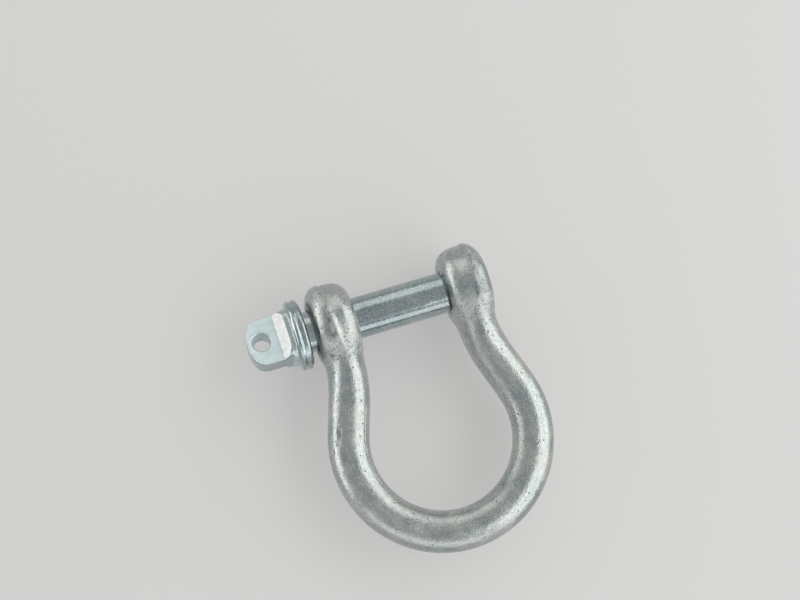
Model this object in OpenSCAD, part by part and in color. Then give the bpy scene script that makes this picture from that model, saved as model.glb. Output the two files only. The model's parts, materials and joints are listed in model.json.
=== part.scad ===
// Bow shackle with a screw pin: a forged bow and a forged pin with a flat eye tab.
// X runs along the pin from its head to its threaded tip, the bow hangs towards -Y,
// and Z is square to the plane of the bow. The origin is on the pin's axis, midway
// between the two eyes.

/* [Bow] */
// Clear width between the two eyes
jaw_w = 36.5; // [35:0.5:38]
// Clear length from the pin to the inside of the crown
inside_len = 72; // [70:0.5:78]
// Clear width across the inside of the crown
crown_inside_w = 54.5; // [53:0.5:58]
// Diameter of the bar along the sides of the bow
bar_d = 15.8; // [15:0.1:16.5]
// Diameter of the bar at the bottom of the crown, where it is thickest
crown_bar_d = 16; // [15.5:0.1:17.5]
// Angle at which the legs flare out from the eyes
flare_deg = 18.5; // [17:0.5:20]
// Radius of the bend between an eye and its flaring leg
shoulder_bend_r = 55; // [44:1:60]

/* [Eyes] */
// Outside diameter of the eyes, at the flash line in the middle of their rims
eye_d = 33.5; // [33:0.5:37]
// Thickness of the eyes along the pin
eye_t = 16.5; // [16:0.5:18]
// Radius of the rounded rim of the eyes
eye_rim_r = 5.5; // [3:0.25:6.5]
// Draft of the rims, which slope down on both sides of the flash line
eye_draft = 6; // [0:1:8]
// Thickness of the neck where the leg leaves the eye
neck_t = 14.6; // [13.5:0.1:15]
// Width of the neck inside the eye
neck_w = 27; // [24:0.5:29]
// Diameter of the plain hole on the head side
plain_hole_d = 17.6; // [17.4:0.1:18.4]

/* [Pin] */
// Diameter of the plain part of the pin
pin_d = 16; // [16:0.1:16.2]
// Pitch diameter, at which the thread is drawn plain
thread_pitch_d = 14.7; // [14:0.1:15.2]
// Diameter of the collar
collar_d = 27.5; // [26.5:0.5:31]
// Thickness of the collar
collar_t = 5; // [4:0.25:5.5]
// Gap left between the collar and the eye when the thread is home
collar_gap = 3; // [1:0.25:4]

/* [Eye tab] */
// Width of the flat tab across the pin
tab_w = 18.5; // [17:0.5:20]
// Length of the head from the collar to its end
head_len = 17.5; // [16:0.25:19]
// Thickness of the tab
tab_t = 8.5; // [7:0.25:10]
// Radius of the tab's rounded end
tab_end_r = 15; // [14:1:24]
// Radius of the corners between the end and the sides
tab_corner_r = 2.5; // [1.5:0.25:3]
// Diameter of the hole for mousing wire
tab_hole_d = 6.6; // [5.5:0.1:7]
// Turn of the tab out of the plane of the bow when the pin is home
tab_turn = 12; // [0:1:45]

/* [Hidden] */
$fn = 96;

// The shape of the bow
bar_r = bar_d / 2;
crown_bar_r = crown_bar_d / 2;
crown_r = crown_inside_w / 2 + bar_r;
crown_drop = inside_len + pin_d / 2 + crown_bar_r - crown_r;
eye_r = eye_d / 2;
eye_x = (jaw_w + eye_t) / 2;
neck_start = 4;
neck_end = 33;
hole_chamfer = 0.8;

// The path of the bar's centre from the pin's axis down one leg to the bottom of the
// crown: straight, a bend outwards, straight along the flare, and round the crown.
flare_len = (crown_r * cos(flare_deg) - eye_x - shoulder_bend_r * (1 - cos(flare_deg))) / sin(flare_deg);
flare_end_y = -crown_drop + crown_r * sin(flare_deg);
bend_y = flare_end_y + flare_len * cos(flare_deg) + shoulder_bend_r * sin(flare_deg);
bend_start = -bend_y;
bend_end = bend_start + shoulder_bend_r * flare_deg * PI / 180;
flare_end = bend_end + flare_len;
path_end = flare_end + crown_r * (90 + flare_deg) * PI / 180;
ring_pitch = 3.4;
ring_points = 36;

// The pin
pin_r = pin_d / 2;
thread_r = thread_pitch_d / 2;
thread_clearance = 0.05;
collar_r = collar_d / 2;
collar_x = -eye_x - eye_t / 2 - collar_gap;
collar_edge_r = 1.6;
collar_groove_r = 1.1;
collar_groove_depth = 0.5;
shoulder_gap = 0.25;
shoulder_x = jaw_w / 2 - shoulder_gap;
tip_recess = 0.5;
tip_x = eye_x + eye_t / 2 - tip_recess;
tip_chamfer = 1.2;
head_neck_r = 11.3;
head_top_h = 9.4;
neck_cut_x = 0.8;
neck_flare_x = -2.4;
ramp_top_x = -2.1;
ramp_foot_x = -5.3;
tab_hole_wall = 2.25;
tab_arc_x = tab_end_r - head_len;
tab_corner_y = tab_w / 2 - tab_corner_r;
tab_corner_x = tab_arc_x - sqrt((tab_end_r - tab_corner_r) ^ 2 - tab_corner_y ^ 2);
tab_corner_deg = asin(tab_corner_y / (tab_end_r - tab_corner_r));
outline_steps = 10;
plain_hole_r = plain_hole_d / 2;
tab_hole_r = tab_hole_d / 2;
margin = 2;

// Rises smoothly from 0 to 1 as t goes from low to high
function ease(low, high, t) =
    let (u = min(1, max(0, (t - low) / (high - low))))
    u * u * (3 - 2 * u);

// A value between a and b
function mix(a, b, share) = a + (b - a) * share;

// The heading of the path at a distance t along it, in degrees outwards from -Y
function heading(t) =
    t < bend_start ? 0 :
    t < bend_end ? (t - bend_start) / shoulder_bend_r * 180 / PI :
    t < flare_end ? flare_deg :
    flare_deg - (t - flare_end) / crown_r * 180 / PI;

// The place of the path at a distance t along it
function place(t) =
    let (h = heading(t))
    t < bend_start ? [eye_x, -t] :
    t < bend_end ? [eye_x + shoulder_bend_r * (1 - cos(h)), bend_y - shoulder_bend_r * sin(h)] :
    t < flare_end ? [crown_r * cos(h), flare_end_y] - (flare_end - t) * [sin(h), -cos(h)] :
    [crown_r * cos(h), crown_r * sin(h) - crown_drop];

// The bar's radius away from the eyes, which grows towards the bottom of the crown
function bar_radius(t) = mix(bar_r, crown_bar_r, ease(flare_end, path_end, t));

// One ring of the forged bar. Side is 1 for the leg on +X and -1 for the other leg.
function ring(t, side) =
    let (
        h = heading(t),
        c = place(t),
        neck = ease(neck_start, neck_end, t),
        half_t = mix(neck_t / 2, bar_radius(t), neck),
        half_w = mix(neck_w / 2, bar_radius(t), neck)
    )
    [for (i = [0:ring_points - 1])
        let (
            a = 360 * i / ring_points,
            out = half_t * cos(a)
        )
        [side * (c[0] + out * cos(h)), c[1] + out * sin(h), half_w * sin(a)]];

// The rings from the eye on -X round to the eye on +X
half_rings = ceil(path_end / ring_pitch);
stations = [for (i = [0:half_rings]) path_end * i / half_rings];
bow_rings = concat(
    [for (i = [0:half_rings]) ring(stations[i], -1)],
    [for (i = [half_rings - 1:-1:0]) ring(stations[i], 1)]
);

// A closed skin over a row of rings that have the same number of points
module skin(rings) {
    n = len(rings[0]);
    last = (len(rings) - 1) * n;
    sides = [for (k = [0:len(rings) - 2], i = [0:n - 1])
        [k * n + i, k * n + (i + 1) % n, (k + 1) * n + (i + 1) % n, (k + 1) * n + i]];
    start_cap = [for (i = [n - 1:-1:0]) i];
    end_cap = [for (i = [0:n - 1]) last + i];
    polyhedron(
        points = [for (r = rings, p = r) p],
        faces = concat([start_cap], sides, [end_cap]),
        convexity = 4
    );
}

// A disc on the X axis with rounded rims, whose side slopes to a line in its middle
module round_rimmed_disc(r, t, rim_r, draft) {
    steps = 8;
    rim_x = t / 2 - rim_r;
    rim_centre_r = r - rim_x * tan(draft) - rim_r / cos(draft);
    rim = [for (i = [0:steps])
        let (a = (90 - draft) * i / steps)
        [rim_centre_r + rim_r * sin(a), rim_x + rim_r * cos(a)]];
    back_rim = [for (i = [steps:-1:0]) [rim[i][0], -rim[i][1]]];
    rotate([0, 90, 0])
        rotate_extrude()
            polygon(concat([[0, t / 2]], rim, [[r, 0]], back_rim, [[0, -t / 2]]));
}

// A round bar on the X axis from one place to another
module bar_along_x(x0, x1, r) {
    translate([x0, 0, 0])
        rotate([0, 90, 0])
            cylinder(h = x1 - x0, r = r);
}

// The hole through an eye, with its chamfers, centred on the eye
module eye_hole(r) {
    bar_along_x(-eye_t / 2 - margin, eye_t / 2 + margin, r);
    for (side = [0, 1])
        mirror([side, 0, 0])
            translate([eye_t / 2 - hole_chamfer, 0, 0])
                rotate([0, 90, 0])
                    cylinder(h = hole_chamfer + margin, r1 = r, r2 = r + hole_chamfer + margin);
}

module bow() {
    color("gainsboro")
        difference() {
            union() {
                skin(bow_rings);
                for (side = [-1, 1])
                    translate([side * eye_x, 0, 0])
                        round_rimmed_disc(eye_r, eye_t, eye_rim_r, eye_draft);
            }
            translate([-eye_x, 0, 0])
                eye_hole(plain_hole_r);
            translate([eye_x, 0, 0])
                eye_hole(thread_r + thread_clearance);
        }
}

// The points of an arc about a centre, from one angle to another
function arc(centre, r, from, to) =
    [for (i = [0:outline_steps])
        let (a = mix(from, to, i / outline_steps))
        centre + r * [cos(a), sin(a)]];

// The outline of the flat head seen square to its face, from the collar outwards
module tab_outline() {
    half = concat(
        [[margin, head_neck_r + margin], [neck_cut_x, head_neck_r + margin]],
        [[neck_flare_x, tab_w / 2]],
        arc([tab_corner_x, tab_corner_y], tab_corner_r, 90, 180 - tab_corner_deg),
        arc([tab_arc_x, 0], tab_end_r, 180 - tab_corner_deg, 180)
    );
    other_half = [for (i = [len(half) - 2:-1:0]) [half[i][0], -half[i][1]]];
    polygon(concat(half, other_half));
}

// A cutter that flattens one side of the head and ramps up to the flat top of the neck
module flat_cutter() {
    rotate([90, 0, 0])
        linear_extrude(height = 2 * (head_neck_r + margin), center = true)
            polygon([
                [-head_len - margin, tab_t / 2],
                [ramp_foot_x, tab_t / 2],
                [ramp_top_x, head_top_h],
                [collar_t, head_top_h],
                [collar_t, head_neck_r + margin],
                [-head_len - margin, head_neck_r + margin]
            ]);
}

// The head, with the collar's outer face at the origin
module eye_tab() {
    difference() {
        intersection() {
            bar_along_x(-head_len, collar_t / 2, head_neck_r);
            linear_extrude(height = 2 * (head_neck_r + margin), center = true)
                tab_outline();
        }
        flat_cutter();
        mirror([0, 0, 1])
            flat_cutter();
        translate([-head_len + tab_hole_wall + tab_hole_r, 0, 0])
            cylinder(h = 2 * tab_t, r = tab_hole_r, center = true);
    }
}

// The collar, whose rim has a shallow groove between two rounded beads
module collar() {
    difference() {
        round_rimmed_disc(collar_r, collar_t, collar_edge_r, 0);
        rotate([0, 90, 0])
            rotate_extrude()
                translate([collar_r + collar_groove_r - collar_groove_depth, 0])
                    circle(r = collar_groove_r);
    }
}

module screw_pin() {
    color("lightsteelblue")
        union() {
            translate([collar_x - collar_t / 2, 0, 0])
                collar();
            bar_along_x(collar_x - collar_t / 2, shoulder_x, pin_r);
            bar_along_x(shoulder_x, tip_x - tip_chamfer, thread_r);
            translate([tip_x - tip_chamfer, 0, 0])
                rotate([0, 90, 0])
                    cylinder(h = tip_chamfer, r1 = thread_r, r2 = thread_r - tip_chamfer);
            translate([collar_x - collar_t, 0, 0])
                rotate([-tab_turn, 0, 0])
                    eye_tab();
        }
}

bow();
screw_pin();
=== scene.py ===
"""Looks of a galvanised bow shackle: a forged bow and a forged screw pin.

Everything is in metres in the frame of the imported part: X runs along the pin from its
head to its threaded tip, the bow hangs towards -Y, and Z is square to its plane.
"""

import json
import logging
import math
from dataclasses import dataclass
from enum import Enum
from typing import Any, Callable, Union

import bmesh
import bpy
import numpy as np
from mathutils import Matrix, Vector


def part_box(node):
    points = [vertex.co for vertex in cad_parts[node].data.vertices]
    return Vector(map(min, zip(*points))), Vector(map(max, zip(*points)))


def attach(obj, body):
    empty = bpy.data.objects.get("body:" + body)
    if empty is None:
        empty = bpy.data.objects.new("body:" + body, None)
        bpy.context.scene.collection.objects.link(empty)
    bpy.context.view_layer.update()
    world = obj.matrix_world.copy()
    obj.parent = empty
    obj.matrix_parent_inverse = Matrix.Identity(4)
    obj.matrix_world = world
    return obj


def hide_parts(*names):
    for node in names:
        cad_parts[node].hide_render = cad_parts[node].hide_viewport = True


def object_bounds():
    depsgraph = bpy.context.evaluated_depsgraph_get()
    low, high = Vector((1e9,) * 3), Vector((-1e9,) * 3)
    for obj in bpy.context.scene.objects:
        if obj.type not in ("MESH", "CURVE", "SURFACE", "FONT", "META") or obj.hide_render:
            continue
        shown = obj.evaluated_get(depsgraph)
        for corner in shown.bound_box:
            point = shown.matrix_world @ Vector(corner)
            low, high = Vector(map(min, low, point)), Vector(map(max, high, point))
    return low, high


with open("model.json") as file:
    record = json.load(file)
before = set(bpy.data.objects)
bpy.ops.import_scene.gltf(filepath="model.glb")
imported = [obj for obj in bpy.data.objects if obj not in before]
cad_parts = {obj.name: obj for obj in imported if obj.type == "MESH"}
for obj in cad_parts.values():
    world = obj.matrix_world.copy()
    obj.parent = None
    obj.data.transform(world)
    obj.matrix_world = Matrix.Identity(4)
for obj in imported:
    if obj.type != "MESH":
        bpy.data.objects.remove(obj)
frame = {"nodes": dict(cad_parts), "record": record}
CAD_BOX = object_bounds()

log = logging.getLogger("shackle")

MM = 0.001
Colour = tuple[float, float, float]
Range = tuple[float, float]
Points = np.ndarray
Field = Callable[[Points], np.ndarray]
TINY = 1e-6
WELD = 0.002 * MM


class Body(Enum):
    """The bodies of the frame that pieces ride on."""

    BOW = "bow"
    SCREW_PIN = "screw_pin"


class Slot(Enum):
    """The material slots of the record."""

    BOW = "galvanised_bow"
    PIN = "galvanised_pin"


# ---------------------------------------------------------------- shape maths


def smooth_step(low: float, high: float, value: np.ndarray) -> np.ndarray:
    """Rises smoothly from 0 to 1 as value goes from low to high."""
    share = np.clip((value - low) / (high - low), 0.0, 1.0)
    return share * share * (3.0 - 2.0 * share)


def mix(a: Any, b: Any, share: Any) -> Any:
    """The value at a share of the way from a to b."""
    return a + (b - a) * share


def smooth_min(a: np.ndarray, b: np.ndarray, width: float) -> np.ndarray:
    """The smaller of a and b, blended where they differ by less than width."""
    overlap = np.maximum(width - np.abs(a - b), 0.0) / width
    return np.minimum(a, b) - overlap * overlap * width / 4.0


def smooth_max(a: np.ndarray, b: np.ndarray, width: float) -> np.ndarray:
    """The larger of a and b, blended where they differ by less than width."""
    return -smooth_min(-a, -b, width)


def bell(value: np.ndarray, width: Any) -> np.ndarray:
    """1 at 0, and falling away on both sides over a width."""
    return np.exp(-((value / width) ** 2))


def rounded_corner(a: np.ndarray, b: np.ndarray, radius: float) -> np.ndarray:
    """Distance to a corner of two square faces that is rounded to a radius.

    Args:
        a: Distance past the first face.
        b: Distance past the second face.
        radius: Radius of the rounded corner.

    Returns:
        The signed distance, negative inside both faces.
    """
    inner_a = a + radius
    inner_b = b + radius
    outside = np.hypot(np.maximum(inner_a, 0.0), np.maximum(inner_b, 0.0))
    return outside + np.minimum(np.maximum(inner_a, inner_b), 0.0) - radius


# ---------------------------------------------------------------- node trees


def between(operation: str, turned: bool = False) -> Callable[["Wire", Any], "Wire"]:
    """A method of a wire that joins it with another value in one Math node.

    Args:
        operation: Blender's name for what the node does.
        turned: Whether the other value comes first.

    Returns:
        The method.
    """

    def method(self: "Wire", other: Any) -> "Wire":
        """Joins this wire with a wire or a number."""
        return self.math(operation, other, self) if turned else self.math(operation, self, other)

    return method


def alone(operation: str) -> Callable[["Wire"], "Wire"]:
    """A method of a wire that works on it alone in one Math node."""
    return lambda self: self.math(operation, self)


class Wire:
    """One output socket of a node tree, with the operators of arithmetic."""

    __add__ = __radd__ = between("ADD")
    __sub__ = between("SUBTRACT")
    __rsub__ = between("SUBTRACT", turned=True)
    __mul__ = __rmul__ = between("MULTIPLY")
    __truediv__ = between("DIVIDE")
    __abs__ = alone("ABSOLUTE")
    above = between("GREATER_THAN")
    at_least = between("MAXIMUM")
    at_most = between("MINIMUM")
    sine = alone("SINE")
    cosine = alone("COSINE")
    fraction = alone("FRACT")

    def __init__(self, tree: "Tree", socket: bpy.types.NodeSocket) -> None:
        """Wraps a socket of a tree."""
        self.tree = tree
        self.socket = socket

    def math(self, operation: str, *values: Any, clamp: bool = False) -> "Wire":
        """Adds one Math node on the given values."""
        node = self.tree.node("ShaderNodeMath", {"operation": operation, "use_clamp": clamp}, values)
        return node.out(0)

    def __neg__(self) -> "Wire":
        """Turns the sign."""
        return self * -1.0

    def unit(self) -> "Wire":
        """This kept between 0 and 1."""
        return self.math("ADD", self, 0.0, clamp=True)

    def step(self, low: Any, high: Any) -> "Wire":
        """Rises smoothly from 0 to 1 as this goes from low to high."""
        share = ((self - low) / (high - low)).unit()
        return share * share * (3.0 - 2.0 * share)

    def toward(self, other: Any, share: Any) -> "Wire":
        """The value at a share of the way from this to the other."""
        return self + (other - self) * share


@dataclass(frozen=True)
class Made:
    """A node that a tree has made."""

    tree: "Tree"
    node: bpy.types.Node

    def out(self, name: Union[str, int] = 0) -> Wire:
        """One of its outputs, by name or place."""
        return Wire(self.tree, self.node.outputs[name])


class Tree:
    """A node tree under construction."""

    def __init__(self, nodes: bpy.types.NodeTree) -> None:
        """Starts on an empty tree."""
        self.nodes = nodes
        self.nodes.nodes.clear()

    def node(self, kind: str, settings: dict[str, Any], values: Any = ()) -> Made:
        """Makes a node.

        Args:
            kind: Blender's name for the node's type.
            settings: Its properties, which are set first.
            values: Its inputs as a list in order, or a dict by name or place. Each is
                a wire to link or a plain value, and None leaves an input alone.

        Returns:
            The node made.
        """
        node = self.nodes.nodes.new(kind)
        for key, value in settings.items():
            setattr(node, key, value)
        pairs = values.items() if isinstance(values, dict) else enumerate(values)
        for key, value in pairs:
            if isinstance(value, Wire):
                self.nodes.links.new(value.socket, node.inputs[key])
            elif value is not None:
                node.inputs[key].default_value = value
        return Made(self, node)

    def vector(self, operation: str, *values: Any, output: int = 0) -> Wire:
        """One Vector Math node on the given vectors."""
        return self.node("ShaderNodeVectorMath", {"operation": operation}, values).out(output)

    def split(self, vector: Wire) -> tuple[Wire, Wire, Wire]:
        """The three parts of a vector."""
        node = self.node("ShaderNodeSeparateXYZ", {}, [vector])
        return node.out(0), node.out(1), node.out(2)

    def join(self, x: Any, y: Any, z: Any) -> Wire:
        """A vector of three parts."""
        return self.node("ShaderNodeCombineXYZ", {}, [x, y, z]).out(0)

    def noise(self, place: Wire, size: float, detail: float = 2.0, rough: float = 0.5) -> Wire:
        """Cloudy noise about 0.5.

        Args:
            place: Where it is read, in metres.
            size: Width of its main blobs, in metres.
            detail: Number of finer layers on top.
            rough: How strong the finer layers are.

        Returns:
            The noise as a wire.
        """
        values = {"Vector": place, "Scale": 1.0 / size, "Detail": detail, "Roughness": rough}
        return self.node("ShaderNodeTexNoise", {}, values).out("Fac")

    def cells(self, place: Wire, size: float, feature: str = "F1") -> Made:
        """Voronoi cells of about a size in metres, read at a place."""
        values = {"Vector": place, "Scale": 1.0 / size}
        return self.node("ShaderNodeTexVoronoi", {"feature": feature}, values)

    def blend(self, a: Any, b: Any, share: Any, how: str = "MIX") -> Wire:
        """Mixes two colours.

        Args:
            a: The first colour, as a wire or a tuple of red, green and blue.
            b: The second colour.
            share: How far to go from the first to the second.
            how: Blender's name for the way of mixing.

        Returns:
            The mixed colour as a wire.
        """
        plain = [(*c, 1.0) if isinstance(c, tuple) else c for c in (a, b)]
        settings = {"data_type": "RGBA", "blend_type": how}
        return self.node("ShaderNodeMix", settings, {0: share, 6: plain[0], 7: plain[1]}).out(2)


class Rule:
    """A Geometry Nodes tree with named inputs, which makes or finishes one piece."""

    KINDS = {float: "NodeSocketFloat", int: "NodeSocketInt", bpy.types.Material: "NodeSocketMaterial"}

    def __init__(self, name: str, values: dict[str, Any]) -> None:
        """Starts the tree.

        Args:
            name: Name of the tree.
            values: Value of each input by its name, besides the geometry.
        """
        self.group = bpy.data.node_groups.new(name, "GeometryNodeTree")
        face = self.group.interface
        face.new_socket("Geometry", in_out="INPUT", socket_type="NodeSocketGeometry")
        self.values = {}
        for label, value in values.items():
            item = face.new_socket(label, in_out="INPUT", socket_type=self.KINDS[type(value)])
            self.values[item.identifier] = value
        face.new_socket("Geometry", in_out="OUTPUT", socket_type="NodeSocketGeometry")
        self.tree = Tree(self.group)
        self.input = self.tree.node("NodeGroupInput", {}).out

    def place(self) -> Wire:
        """The position of each point."""
        return self.tree.node("GeometryNodeInputPosition", {}).out()

    def move(self, geometry: Wire, place: Any = None, offset: Any = None) -> Wire:
        """Sets or shifts the position of each point."""
        values = {"Geometry": geometry, "Position": place, "Offset": offset}
        return self.tree.node("GeometryNodeSetPosition", {}, values).out()

    def store(self, geometry: Wire, name: str, value: Wire) -> Wire:
        """Keeps a number on each point under a name."""
        settings = {"data_type": "FLOAT", "domain": "POINT"}
        values = {"Geometry": geometry, "Name": name, "Value": value}
        return self.tree.node("GeometryNodeStoreNamedAttribute", settings, values).out()

    def finish(self, geometry: Wire) -> None:
        """Ends the tree with real geometry that carries the material."""
        real = self.tree.node("GeometryNodeRealizeInstances", {}, [geometry]).out()
        values = {"Geometry": real, "Material": self.input("Material")}
        dressed = self.tree.node("GeometryNodeSetMaterial", {}, values).out()
        self.tree.node("NodeGroupOutput", {}, [dressed])

    def put_on(self, piece: bpy.types.Object) -> None:
        """Adds the tree to a piece as a modifier with its inputs' values."""
        modifier = piece.modifiers.new(self.group.name, "NODES")
        modifier.node_group = self.group
        for key, value in self.values.items():
            modifier[key] = value


# ---------------------------------------------------------------- mesh handling


def new_piece(name: str, data: bpy.types.ID) -> bpy.types.Object:
    """Links a new object that holds a mesh, a curve, a lamp or a camera, at the origin."""
    piece = bpy.data.objects.new(name, data)
    bpy.context.scene.collection.objects.link(piece)
    return piece


def settle(piece: bpy.types.Object) -> None:
    """Turns what the modifiers make into the piece's own plain mesh."""
    graph = bpy.context.evaluated_depsgraph_get()
    graph.update()
    made = bpy.data.meshes.new_from_object(
        piece.evaluated_get(graph), preserve_all_data_layers=True, depsgraph=graph
    )
    made.name = piece.name
    piece.modifiers.clear()
    piece.data = made


def points_of(mesh: bpy.types.Mesh) -> Points:
    """The places of a mesh's vertices, one row each."""
    flat = np.zeros(len(mesh.vertices) * 3)
    mesh.vertices.foreach_get("co", flat)
    return flat.reshape(-1, 3)


def put_points(mesh: bpy.types.Mesh, points: Points) -> None:
    """Moves a mesh's vertices to the given places."""
    mesh.vertices.foreach_set("co", points.astype(np.float32).ravel())
    mesh.update()


def keep(mesh: bpy.types.Mesh, name: str, values: np.ndarray) -> None:
    """Keeps a number or a place on each vertex under a name, for the materials."""
    kind, field = ("FLOAT", "value") if values.ndim == 1 else ("FLOAT_VECTOR", "vector")
    attribute = mesh.attributes.new(name, kind, "POINT")
    attribute.data.foreach_set(field, values.astype(np.float32).ravel())


class Skin:
    """An even mesh, brought onto the surface that a distance field describes."""

    PROBE = 0.002 * MM
    FLATTEST = 0.05
    ROUNDS = 4
    STEPS = 3

    def __init__(self, field: Field, cell: float) -> None:
        """Takes the field, and a face's size, which is also as far as one step may go."""
        self.field = field
        self.cell = cell

    def cover(self, piece: bpy.types.Object) -> None:
        """Covers a rough piece with even square faces and settles them on the surface."""
        modifier = piece.modifiers.new("even faces", "REMESH")
        modifier.mode = "VOXEL"
        modifier.voxel_size = self.cell
        settle(piece)
        self.fit(piece.data)

    def slope(self, points: Points, level: np.ndarray) -> Points:
        """The field's gradient at each point."""
        columns = []
        for axis in range(3):
            probe = points.copy()
            probe[:, axis] += self.PROBE
            columns.append((self.field(probe) - level) / self.PROBE)
        return np.stack(columns, axis=1)

    def step(self, points: Points) -> Points:
        """Moves the points towards the surface along the field's gradient."""
        level = self.field(points)
        slope = self.slope(points, level)
        square = np.maximum((slope * slope).sum(axis=1), self.FLATTEST)
        move = slope * (level / square)[:, None]
        length = np.linalg.norm(move, axis=1)
        scale = np.minimum(1.0, self.cell / np.maximum(length, TINY))
        return points - move * scale[:, None]

    def fit(self, mesh: bpy.types.Mesh) -> None:
        """Evens out the mesh and settles it on the surface, a few times over."""
        ends = np.zeros(len(mesh.edges) * 2, dtype=np.int64)
        mesh.edges.foreach_get("vertices", ends)
        first, second = ends.reshape(-1, 2).T
        count = np.bincount(first, minlength=len(mesh.vertices))
        count = count + np.bincount(second, minlength=len(mesh.vertices))
        points = points_of(mesh)
        for turn in range(self.ROUNDS):
            for _ in range(self.STEPS):
                points = self.step(points)
            if turn < self.ROUNDS - 1:
                total = np.zeros_like(points)
                for axis in range(3):
                    total[:, axis] += np.bincount(first, points[second, axis], len(points))
                    total[:, axis] += np.bincount(second, points[first, axis], len(points))
                points = mix(points, total / count[:, None], 0.5)
        put_points(mesh, points)


def turn_faces_out(mesh: bpy.types.Mesh) -> None:
    """Makes every face of a closed mesh point outwards."""
    work = bmesh.new()
    work.from_mesh(mesh)
    bmesh.ops.recalc_face_normals(work, faces=work.faces)
    work.to_mesh(mesh)
    work.free()


def shade_smooth(mesh: bpy.types.Mesh, crease_deg: float) -> None:
    """Smooths the shading everywhere but at edges sharper than an angle."""
    mesh.shade_smooth()
    mesh.set_sharp_from_angle(angle=math.radians(crease_deg))


# ---------------------------------------------------------------- the zinc


@dataclass(frozen=True)
class ZincSkin:
    """The dips, ripples and pits that hot dipping leaves in a piece's skin."""

    dip: float
    ripple: float
    pit: float
    seed: float
    dip_width: float = 7.0 * MM
    ripple_width: float = 2.0 * MM
    patch_width: float = 12.0 * MM
    pit_spacing: float = 2.2 * MM
    dip_range: Range = (0.25, 0.8)
    ripple_range: Range = (0.3, 0.8)
    patch_range: Range = (0.50, 0.62)
    pit_range: Range = (0.10, 0.36)
    pit_rarity: float = 0.6
    wear_gain: float = 2.0

    def press_into(self, piece: bpy.types.Object, material: bpy.types.Material) -> None:
        """Presses them into a piece and gives it its material.

        Args:
            piece: The piece, whose mesh may keep its wear under that name.
            material: The piece's finish.
        """
        sizes = {"Dip": self.dip, "Ripple": self.ripple, "Pit": self.pit, "Seed": self.seed}
        rule = Rule("zinc skin", {**sizes, "Material": material})
        tree = rule.tree
        place = tree.vector("ADD", rule.place(), tree.join(rule.input("Seed"), 0.0, 0.0))
        dips = tree.noise(place, self.dip_width, detail=1.0).step(*self.dip_range)
        ripples = tree.noise(place, self.ripple_width, detail=1.0).step(*self.ripple_range)
        patches = tree.noise(place, self.patch_width, detail=1.0).step(*self.patch_range)
        wear = tree.node("GeometryNodeInputNamedAttribute", {"data_type": "FLOAT"}, {"Name": "wear"})
        ripples = ripples * (1.0 + wear.out("Attribute") * self.wear_gain)
        crater = tree.cells(place, self.pit_spacing)
        rare = tree.split(crater.out("Color"))[0].above(self.pit_rarity)
        pits = (1.0 - crater.out("Distance").step(*self.pit_range)) * rare * patches
        depth = dips * rule.input("Dip") + ripples * rule.input("Ripple") + pits * rule.input("Pit")
        normal = tree.node("GeometryNodeInputNormal", {}).out()
        inwards = tree.node("ShaderNodeVectorMath", {"operation": "SCALE"}, [normal, None, None, -depth])
        pitted = rule.store(rule.input("Geometry"), "pit", pits * rule.input("Pit").above(0.0))
        rule.finish(rule.move(pitted, None, inwards.out()))
        rule.put_on(piece)
        settle(piece)


# ---------------------------------------------------------------- the bow


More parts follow.
